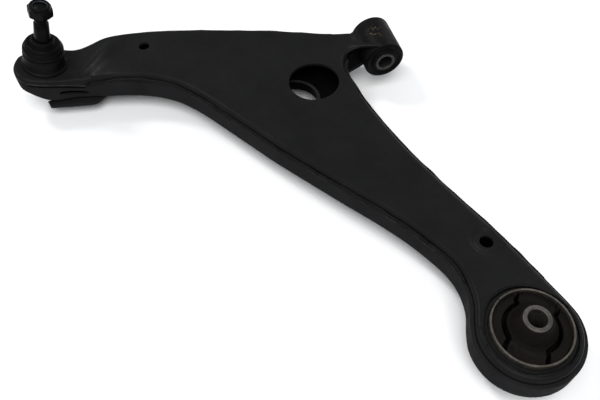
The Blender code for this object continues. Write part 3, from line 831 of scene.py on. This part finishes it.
def make_seam_beads(outline):
    line = inset(outline, EDGE_STEP - 1.35)
    runs = (("seam_bead_inboard", "seam_weld_inboard", (34, 34), (-38, 295)),
            ("seam_bead_front", "seam_weld_front", (-36, 352), (-288, 420)),
            ("seam_bead_outboard", "seam_weld_outboard", (-288, 365), (-30, 52)))
    for seed, (name, node, start, stop) in enumerate(runs):
        path = [Vector((p.x, p.y, LOWER_RIM_Z + 1.2 + fold_height(p.x)))
                for p in run_between(line, start, stop)]
        radius, wander = (2.0, 0.9) if name == "seam_bead_outboard" else (1.6, 0.4)
        # The dark weld coat on these beads is partly painted shade of the groove under the top
        # sheet's edge.
        lay_bead(name, path, radius, 10.0 * seed, node, wander=wander)


def make_tongue_edge(outline):
    """The rolled edge of the tongue's short flange, in a coat that paints its highlight, and a dark
    strip under it that paints the shadow in the joint.
    """
    for name, look, radius, distance, drop in (("tongue_hem", "worn_edge", 0.8, 0.5, 9.3),
                                               # The second run is a dark strip in the inside coat:
                                               # painted shadow under the flange.
                                               ("tongue_gap_shadow_strip", "inside", 1.3, 1.0, 11.4)):
        run = run_between(inset(outline, distance), (-346, 372), (-288, 363))
        path = [Vector((p.x, p.y, fold_height(p.x) - drop)) for p in run]
        lay_bead(name, path, radius, 90.0, wander=0.15, look=look, slot="ecoat")


def make_eye_bead():
    """The weld round the eye ring, which leaves the sheet lumpy beside the shell."""
    radius = 35.3
    count = int(tau * radius / BEAD_STEP)
    path = [Vector((x, y, TOP_Z - 0.5)) for x, y in arc((0, 0), radius, 20, 378, count)]
    lay_bead("eye_ring_bead", path, 1.15, 50.0, ripple=2.6)


def neck_rim(share):
    """Near edge of the neck's top, from the sheet's corner up to the crown of the tube."""
    x = -36.0 + 33.0 * share
    y = FRONT_Y - FRONT_HALF + 0.4 + 14.0 * (1.0 - smooth_step(share)**1.3)
    return Vector((x, y, TOP_Z + 14.3 * (1.0 - (1.0 - share)**2)))


def make_tube_welds():
    """A bead along the near edge of the neck, in the lighter coat that paints its highlight, and
    one under the tube.
    """
    path = resampled([neck_rim(k / 16) for k in range(17)], BEAD_STEP, closed=False)
    lay_bead("tube_bead_end", path, 0.75, 60.0, wander=0.4, look="worn_edge")
    reach = FRONT_TUBE_R + 0.9
    angle = radians(262.0)
    x, z = reach * cos(angle), FRONT_Z + reach * sin(angle)
    ends = [Vector((x, FRONT_Y - FRONT_HALF + 2.0, z)), Vector((x, FRONT_Y + FRONT_HALF - 3.0, z))]
    lay_bead("tube_bead_bottom", resampled(ends, BEAD_STEP, closed=False), 1.3, 70.0,
             "tube_weld_bottom")


def make_neck():
    """The neck runs up the tube, to its crown at the near end, with a wall under its near edge."""
    low = Vector((-33.0, TOP_Z + 0.05))
    corner = Vector((-20.5, TOP_Z + 0.05))
    angle = radians(134.0)
    high = Vector((FRONT_TUBE_R * cos(angle), FRONT_Z + FRONT_TUBE_R * sin(angle)))
    thickness = Vector((0.0, 0.0, -2.2))
    far_y = FRONT_Y + FRONT_HALF - 3.0
    across = 16
    along = 26
    bm = bmesh.new()
    rows = []
    for i in range(along + 1):
        share = i / along
        blend = smooth_step(share / 0.55)
        row = []
        for k in range(across + 1):
            t = k / across
            near = neck_rim(t)
            behind = low * (1 - t)**2 + corner * 2 * t * (1 - t) + high * t**2
            y = near.y + share * (far_y - near.y)
            swell = 0.3 * noise.noise(Vector((k * 0.35, y * 0.25, 4.0))) if 0 < k < across else 0.0
            row.append(Vector((near.x, y, near.z)).lerp(Vector((behind.x, y, behind.y)), blend)
                       + Vector((-0.6, 0.0, 0.8)) * swell)
        rows.append([bm.verts.new(p) for p in row + [p + thickness for p in row[::-1]]])
    bridge_all(bm, rows)
    for row in (rows[0], rows[-1]):
        for k in range(across):
            bm.faces.new((row[k], row[k + 1], row[-k - 2], row[-k - 1]))
    place(bm, "neck_top", ARM, "ecoat", "arm", "weld", "tube_weld_top")
    wall = [(-33.2, -6.0), (-33.2, -22.0), (-29.0, -22.5), (-22.0, -20.5), (-14.5, -20.5),
            (-17.2, -17.0), (-19.8, -10.0), (-18.0, -1.0), (-16.0, 3.0), (-20.0, 4.0),
            (-26.0, 0.5), (-31.0, -4.0)]
    near = [(x, FRONT_Y - 11.2 + 0.3 * (x + 33.2), z) for x, z in wall]
    far = [(x, FRONT_Y - 4.0, min(z, -5.0)) for x, z in wall]
    # The wall takes the dark inside coat, which paints the shade under the neck.
    place(lofted(near, far), "neck_wall", ARM, "inside", "arm", "ecoat")


def make_spatter():
    """Small balls of spatter frozen beside the beads."""
    spots = [(-37.1, -2.4, -3.6, 0.9), (-34.5, -13.0, -3.4, 0.6), (-131.4, 233.3, -4.1, 0.9),
             (-175.1, 281.6, -4.2, 0.6), (-70.5, 149.3, -4.3, 0.6), (-35.9, 12.0, -3.5, 0.7),
             (-331.9, 367.7, -17.0, 0.7)]
    bm = bmesh.new()
    for i, (x, y, z, radius) in enumerate(spots):
        made = bmesh.ops.create_icosphere(bm, subdivisions=2, radius=radius,
                                          matrix=Matrix.Translation((x, y, z)))
        for vert in made["verts"]:
            vert.co.z = z + (vert.co.z - z) * 0.75 + jitter(vert.co.x * 2.0, i, 0.12)
    place(bm, "weld_spatter", ARM, "weld", "arm", "weld")


# ---------------------------------------------------------------- tongue plate

def make_tongue_plate():
    """The stiffener under the ball joint, a plate with rounded edges."""
    top = BOTTOM_Z - 0.3
    corners = [(-333.5, 378), (-330.2, 365.8), (-290, 357.5), (-284, 358), (-273, 366), (-270, 392),
               (-273, 418), (-284, 424), (-326, 424), (-332, 419)]
    outline = [Vector(p) for p in resampled([Vector(c) for c in corners], 1.0)]
    edge = 1.2
    thickness = 4.6
    turns = (pi / 2, pi / 4, 0.0)
    rows = [(edge * (1 - cos(a)), top - thickness + edge * (1 - sin(a))) for a in turns]
    rows += [(edge * (1 - cos(a)), top - edge * (1 - sin(a))) for a in turns[::-1]]
    loops = [[(p.x, p.y, height) for p in inset(outline, distance)] for distance, height in rows]
    piece = place(lofted(*loops), "tongue_stiffener", ARM, "ecoat", None, "ecoat", "tongue_plate")
    middle_x = (BALL_ORIGIN.x - ARM_ORIGIN.x) / MM - 7.5
    middle_y = (BALL_ORIGIN.y - ARM_ORIGIN.y) / MM
    under_ball = ARM @ Matrix.Translation((middle_x, middle_y, 0))
    cut_with(piece, cylinder(UNDERSIDE_R, -50, -20, under_ball))
    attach(piece, "arm")


# ---------------------------------------------------------------- rear bush

def make_rear_bush():
    ring = [(31.3, BOTTOM_Z - 1.0), (34.7, BOTTOM_Z - 1.0), (34.7, TOP_Z - 2.2),
            (33.9, TOP_Z - 1.2), (31.3, TOP_Z - 1.2)]
    place(turned(rounded(ring), 128), "eye_ring", ARM, "ecoat", "arm", "ecoat", "rear_eye_ring")
    wall = REAR_SHELL_R - 1.7
    shell = [(wall, -REAR_SHELL_LENGTH), (REAR_SHELL_R, -REAR_SHELL_LENGTH), (REAR_SHELL_R, -0.4),
             (REAR_SHELL_R - 0.4, 0.0), (wall + 0.1, 0.0)]
    piece = place(turned(rounded(shell, 0.35), 160), "bush_shell_rear", ARM, "shell", None,
                  "bush_shell", "rear_bush_shell")
    cut_with(piece, shell_joint())
    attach(piece, "arm")
    sleeve = tube_profile(BOLT_R, REAR_SLEEVE_R, REAR_SLEEVE_HALF)
    middle = ARM @ Matrix.Translation((0, 0, -REAR_SHELL_LENGTH / 2))
    place(turned(rounded(sleeve, 0.8, 4)), "bush_sleeve_rear", middle, "sleeve", "rear_sleeve",
          "sleeve", "rear_bush_sleeve")
    make_rear_rubber(middle, wall - 0.2)


def shell_joint():
    """Cutter for the narrow butt joint of the rolled shell."""
    bm = bmesh.new()
    bmesh.ops.create_cube(bm, size=1.0, matrix=Matrix.Diagonal((4.0, 0.7, 5.0, 1.0)))
    turn = Matrix.Rotation(radians(117.5), 4, "Z")
    return as_object(bm, "helper", ARM @ turn @ Matrix.Translation((REAR_SHELL_R - 0.8, 0, 0)))


def make_rear_rubber(middle, outer):
    """Upper and lower halves, each with two blind voids and a collar along the sleeve."""
    crown = [(29.0, 14.0), (26.0, 14.1), (22.5, 14.6), (19.5, 16.0), (17.0, 18.2), (15.2, 20.8),
             (14.0, 23.2), (12.9, 25.4), (12.1, 27.6), (11.5, 29.3), (REAR_SLEEVE_R + 0.1, 29.5)]
    core = [(REAR_SLEEVE_R + 0.1, 22.5), (14.9, 17.5), (14.9, 0.15), (outer, 0.15), (outer, 13.2)]
    for name, side, nodes in (("bush_rubber_upper", 1.0, ["rear_bush_rubber"]),
                                   ("bush_rubber_lower", -1.0, [])):
        profile = rounded([(min(r, outer), h * side) for r, h in core + crown], 0.5)
        piece = place(turned(profile, 144), name, middle, "bush_rubber", None, "bush_rubber",
                      *nodes)
        cut_with(piece, *(void_cutter(middle, side, turn) for turn in (0.0, pi)), sharp=28.0)
        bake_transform(piece)


def void_cutter(middle, side, turn):
    """A slot bowed round the sleeve whose two ends kick outwards to the shell."""
    spine = []
    steps = 36
    for i in range(steps + 1):
        along = VOID_HALF * (2 * i / steps - 1)
        bowed = min(abs(along), 15.0)
        kick = 1.6 * smooth_step((abs(along) - 14.0) / 5.0)
        spine.append(Vector((20.5 - 0.030 * bowed**2 + kick, along)))
    left, right = [], []
    for i, point in enumerate(spine):
        ahead = spine[min(i + 1, steps)] - spine[max(i - 1, 0)]
        off = Vector((-ahead.y, ahead.x)).normalized() * VOID_WIDTH / 2
        left.append(point + off)
        right.append(point - off)
    rim = left + right[::-1]
    slot = lofted([(p.x, p.y, 1.6 * side) for p in rim], [(p.x, p.y, 34.0 * side) for p in rim])
    return as_object(slot, "helper", middle @ Matrix.Rotation(VOID_TURN + turn, 4, "Z"))


# ---------------------------------------------------------------- front bush

def make_front_bush():
    place_y = along_y(0, FRONT_Y, FRONT_Z)
    tube_in = FRONT_TUBE_R - 2.5
    tube = tube_profile(tube_in, FRONT_TUBE_R, FRONT_HALF)
    place(turned(rounded(tube, 0.8), 128), "eye_tube_front", place_y, "tube", "arm", "ecoat",
          "front_eye_tube")
    shell_out = tube_in - 0.1
    shell = tube_profile(shell_out - 1.4, shell_out, 20.2)
    place(turned(rounded(shell, 0.3)), "bush_shell_front", place_y, "shell", "arm",
          "bush_shell", "front_bush_shell")
    inner = FRONT_SLEEVE_R + 0.1
    outer = shell_out - 1.5
    half = [(outer, 20.4), (19.0, 20.9), (19.2, 21.9), (17.4, 22.5), (15.6, 21.7), (14.4, 20.9),
            (13.2, 21.3), (12.0, 22.6), (inner, 23.0)]
    profile = [(r, -h) for r, h in half[::-1]] + half
    place(turned(rounded(profile, 0.5), 128), "bush_rubber_front", place_y, "boot_rubber", "arm",
          "bush_rubber", "front_bush_rubber")
    sleeve = tube_profile(BOLT_R, FRONT_SLEEVE_R, FRONT_HALF + 2.6)
    place(turned(rounded(sleeve, 0.7, 4)), "bush_sleeve_front", place_y, "front_sleeve",
          "front_sleeve", "sleeve", "front_bush_sleeve")


# ---------------------------------------------------------------- ball joint


def make_housing():
    """The turned housing, its cover underneath and the ring that holds it under the tongue."""
    outside = [(17.1, -17.5), (17.1, 0.3), (21.8, 0.3), (21.8, 1.9), (20.6, 2.8), (19.6, 4.2),
               (19.4, 6.0), (19.4, 14.2), (18.9, 15.2), (16.4, 15.7), (16.4, 19.7), (16.9, 20.2),
               (16.6, 21.5)]
    inside_wall = [(15.2, 21.5), (11.9, 14.9), (11.9, 13.7), (15.4, 12.3), (15.4, -17.5)]
    place(turned(rounded(outside + inside_wall, 0.5), 128), "ball_housing", BALL, "housing", "arm",
          "housing", "ball_joint_housing")
    cover = [(0, -16.0), (9.0, -16.0), (11.0, -15.4), (15.1, -15.4), (15.1, -13.2), (0, -13.2)]
    place(turned(rounded(cover)), "bottom_cover", BALL, "housing", "arm", "housing",
          "housing_cover")
    make_wire_ring("snap_ring", 17.75, [-6.6], 0.55, "arm", "housing_snap_ring", 330.0)


def make_wire_ring(name, radius, heights, wire_r, body, node, sweep=360.0):
    """A round wire in one or more turns about the ball joint's axis."""
    turns = len(heights)
    count = int(110 * turns * sweep / 360.0)
    path = []
    for share in (i / count for i in range(count + 1)):
        angle = radians(sweep) * turns * share + 0.6
        height = heights[0] + (heights[-1] - heights[0]) * share
        path.append(Vector((radius * cos(angle), radius * sin(angle), height)))
    place(tube_along(path, lambda i: wire_r, 8), name, BALL, "wire", body, "spring_steel",
          node)


def make_boot():
    """Two halves that meet in a crease, with a clamp wire round the lower and a seal wire round the
    upper.
    """
    outer = [(18.5, 16.0), (18.9, 16.3), (18.7, 17.0), (18.2, 17.8), (18.7, 18.7), (19.0, 19.6),
             (18.95, 20.8), (18.3, 22.2), (17.5, 23.0), (17.2, BOOT_FOLD)]
    inner = [(16.2, 23.3), (16.9, 21.8), (17.3, 20.3), (16.75, 19.4), (16.75, 16.0)]
    top_outer = [(17.2, BOOT_FOLD), (17.0, 24.4), (16.3, 25.7), (15.3, 26.6), (14.3, 27.0),
                 (13.4, 26.9), (12.6, 26.6), (11.9, 26.7), (11.4, 27.3), (11.0, 28.2),
                 (10.4, 28.9), (9.9, 29.6), (9.9, 30.4), (10.2, 31.2), (9.6, 31.6), (7.9, 31.5)]
    top_inner = [(7.85, 29.4), (8.7, 28.3), (10.0, 27.2), (11.2, 26.0), (12.4, 25.5), (13.6, 25.7),
                 (14.5, 25.6), (15.5, 24.6), (16.2, 23.3)]
    lower = place(turned(rounded(outer + inner, 0.35), 128), "boot_lower", BALL, "boot_rubber",
                  None, "boot_rubber", "dust_boot")
    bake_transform(lower)
    upper = place(turned(rounded(top_outer + top_inner, 0.35), 128), "boot_upper", BALL,
                  "boot_rubber", None, "boot_rubber")
    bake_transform(upper)
    make_wire_ring("boot_clamp_wire", 18.75, [17.4, 18.3], 0.45, "arm", "boot_clamp_ring")
    make_wire_ring("boot_seal_wire", 10.35, [29.7, 30.4], 0.38, "boot_top", "boot_seal_ring")


def thread_depth(height, angle):
    """Depth of the thread below its crest."""
    phase = (height / THREAD_PITCH - angle / tau) % 1.0
    return THREAD_DEPTH * (1.0 - abs(2.0 * phase - 1.0))


def make_stud():
    """Ball, neck, taper and a cut thread that fades out at both ends."""
    ball_r = 12.4
    neck_r = 6.2
    ball = arc((0, BALL_HEIGHT), ball_r, -66, degrees(acos(neck_r / ball_r)), 18)
    shank = [(neck_r, 22.0), (7.0, 24.6), (7.6, 26.0), (7.6, 30.0), (6.9, 49.4), (6.4, 50.2),
             (5.4, 50.8), (5.4, 53.0)]
    threads = [(THREAD_R, THREAD_FROM + 0.156 * i) for i in range(87)]
    profile = [(0, ball[0][1]), *ball, *shank, *threads, (5.2, STUD_TO), (0, STUD_TO)]

    def cut_thread(radius, height, angle):
        if radius == THREAD_R:
            fade = smooth_step((height - THREAD_FROM) / 0.8)
            fade *= smooth_step((STUD_TO - 0.8 - height) / 0.6)
            return radius - thread_depth(height, angle) * fade, height
        return radius, height

    place(turned(profile, 64, cut_thread), "stud", BALL, "stud", "stud", "stud_steel", "ball_stud",
          sharp=50.0)


def make_nut():
    """Hexagon with chamfered corners under a rolled collar that grips the nylon ring."""
    flat, low, high = 10.5, 59.1, 69.9
    corner = flat / cos(pi / 6)
    profile = [(6.25, low), (9.6, low), (flat, low + 0.15), (corner, low + 1.1),
               (corner, low + 6.2), (11.2, low + 7.2), (10.3, low + 7.7), (9.85, low + 7.9),
               (9.7, low + 8.4), (9.7, low + 9.0), (9.4, low + 9.8), (8.7, high - 0.2),
               (7.9, high), (7.2, high - 0.2), (6.9, high - 0.7), (8.2, high - 0.9),
               (8.2, low + 8.0), (6.25, low + 8.0)]
    detailed = []
    for (r_1, h_1), (r_2, h_2) in zip(profile, profile[1:] + profile[:1]):
        steps = 4 if low + 0.1 < min(h_1, h_2) and max(h_1, h_2) < low + 7.6 else 1
        detailed += [(r_1 + (r_2 - r_1) * k / steps, h_1 + (h_2 - h_1) * k / steps)
                     for k in range(steps)]

    def hexagon(radius, height, angle):
        if radius > 9.86 and height < low + 7.85:
            sector = (angle + HEX_TURN) % (pi / 3) - pi / 6
            return min(radius, flat / cos(sector)), height
        return radius, height

    place(turned(detailed, 144, hexagon), "nut", BALL, "stud", "stud", "stud_steel", "lock_nut",
          sharp=25.0)
    ring = [(6.1, low + 8.1), (8.1, low + 8.1), (8.1, high - 1.0), (6.6, high - 1.0),
            (6.1, high - 1.5)]
    place(turned(rounded(ring, 0.3)), "nylon_insert", BALL, "nylon", "stud", "nylon",
          "nut_nylon_ring")


def dress_inner_parts():
    """Hidden bearing parts keep their shapes and take finished materials."""
    for node, look in (("preload_spring", "wire"), ("ball_seat", "bearing"),
                       ("lower_bearing_cup", "bearing"), ("ball_liner", "bearing")):
        piece = frame["nodes"][node]
        piece.data.materials.clear()
        piece.data.materials.append(MATERIALS[look])


# ---------------------------------------------------------------- studio

def make_floor():
    made = Shader("studio_floor", specular=0.2)
    made.finished(made.ramp(made.noise(3.0, 3.0), 0.86, 0.88), 0.8)
    bm = bmesh.new()
    bmesh.ops.create_grid(bm, x_segments=8, y_segments=8, size=4.0)
    floor = as_object(bm, "floor", Matrix.Identity(4))
    floor.data.materials.append(made.material)


def make_light(name, place_m, target, size, power, colour=(1.0, 1.0, 1.0)):
    lamp = bpy.data.lights.new(name, "AREA")
    lamp.shape = "RECTANGLE"
    lamp.size, lamp.size_y = size
    lamp.energy = power
    lamp.color = colour
    holder = linked(name, lamp)
    holder.location = place_m
    holder.rotation_euler = (Vector(target) - Vector(place_m)).to_track_quat("-Z", "Y").to_euler()


def make_studio():
    world = bpy.data.worlds.new("studio")
    world.use_nodes = True
    background = world.node_tree.nodes["Background"]
    background.inputs["Color"].default_value = (0.93, 0.96, 1.0, 1.0)
    background.inputs["Strength"].default_value = 0.36
    bpy.context.scene.world = world
    make_light("key", (-0.3, -0.9, 2.2), (0, 0.1, 0), (1.8, 1.8), 52.0)
    make_light("back_left", (-1.0, 1.5, 2.1), (-0.1, 0.1, 0), (0.5, 0.5), 24.0)
    make_light("fill_left", (-1.9, -0.2, 0.7), (0, 0, 0), (1.2, 0.8), 2.0, (0.88, 0.92, 1.0))
    make_light("rim_right", (1.6, 0.9, 1.1), (0, 0, 0), (0.9, 0.9), 10.0)
    bpy.context.scene.view_settings.view_transform = "Standard"


def make_camera():
    """Stands behind and outboard of the rear bush, looking down across the arm."""
    lens = bpy.data.cameras.new("camera")
    lens.lens = 39.6
    lens.sensor_width = 36.0
    holder = linked("camera", lens)
    holder.location = ARM @ Vector((-210.7, -143.3, 453.4))
    holder.rotation_euler = [radians(angle) for angle in (34.57, 1.24, -16.721)]
    bpy.context.scene.camera = holder


def main():
    make_camera()
    outline = arm_outline()
    make_upper_sheet(outline)
    make_lower_sheet(outline)
    make_seam_beads(outline)
    make_tongue_edge(outline)
    make_eye_bead()
    make_neck()
    make_tube_welds()
    make_spatter()
    make_tongue_plate()
    make_rear_bush()
    make_front_bush()
    make_housing()
    make_boot()
    make_stud()
    make_nut()
    dress_inner_parts()
    make_floor()
    make_studio()


main()
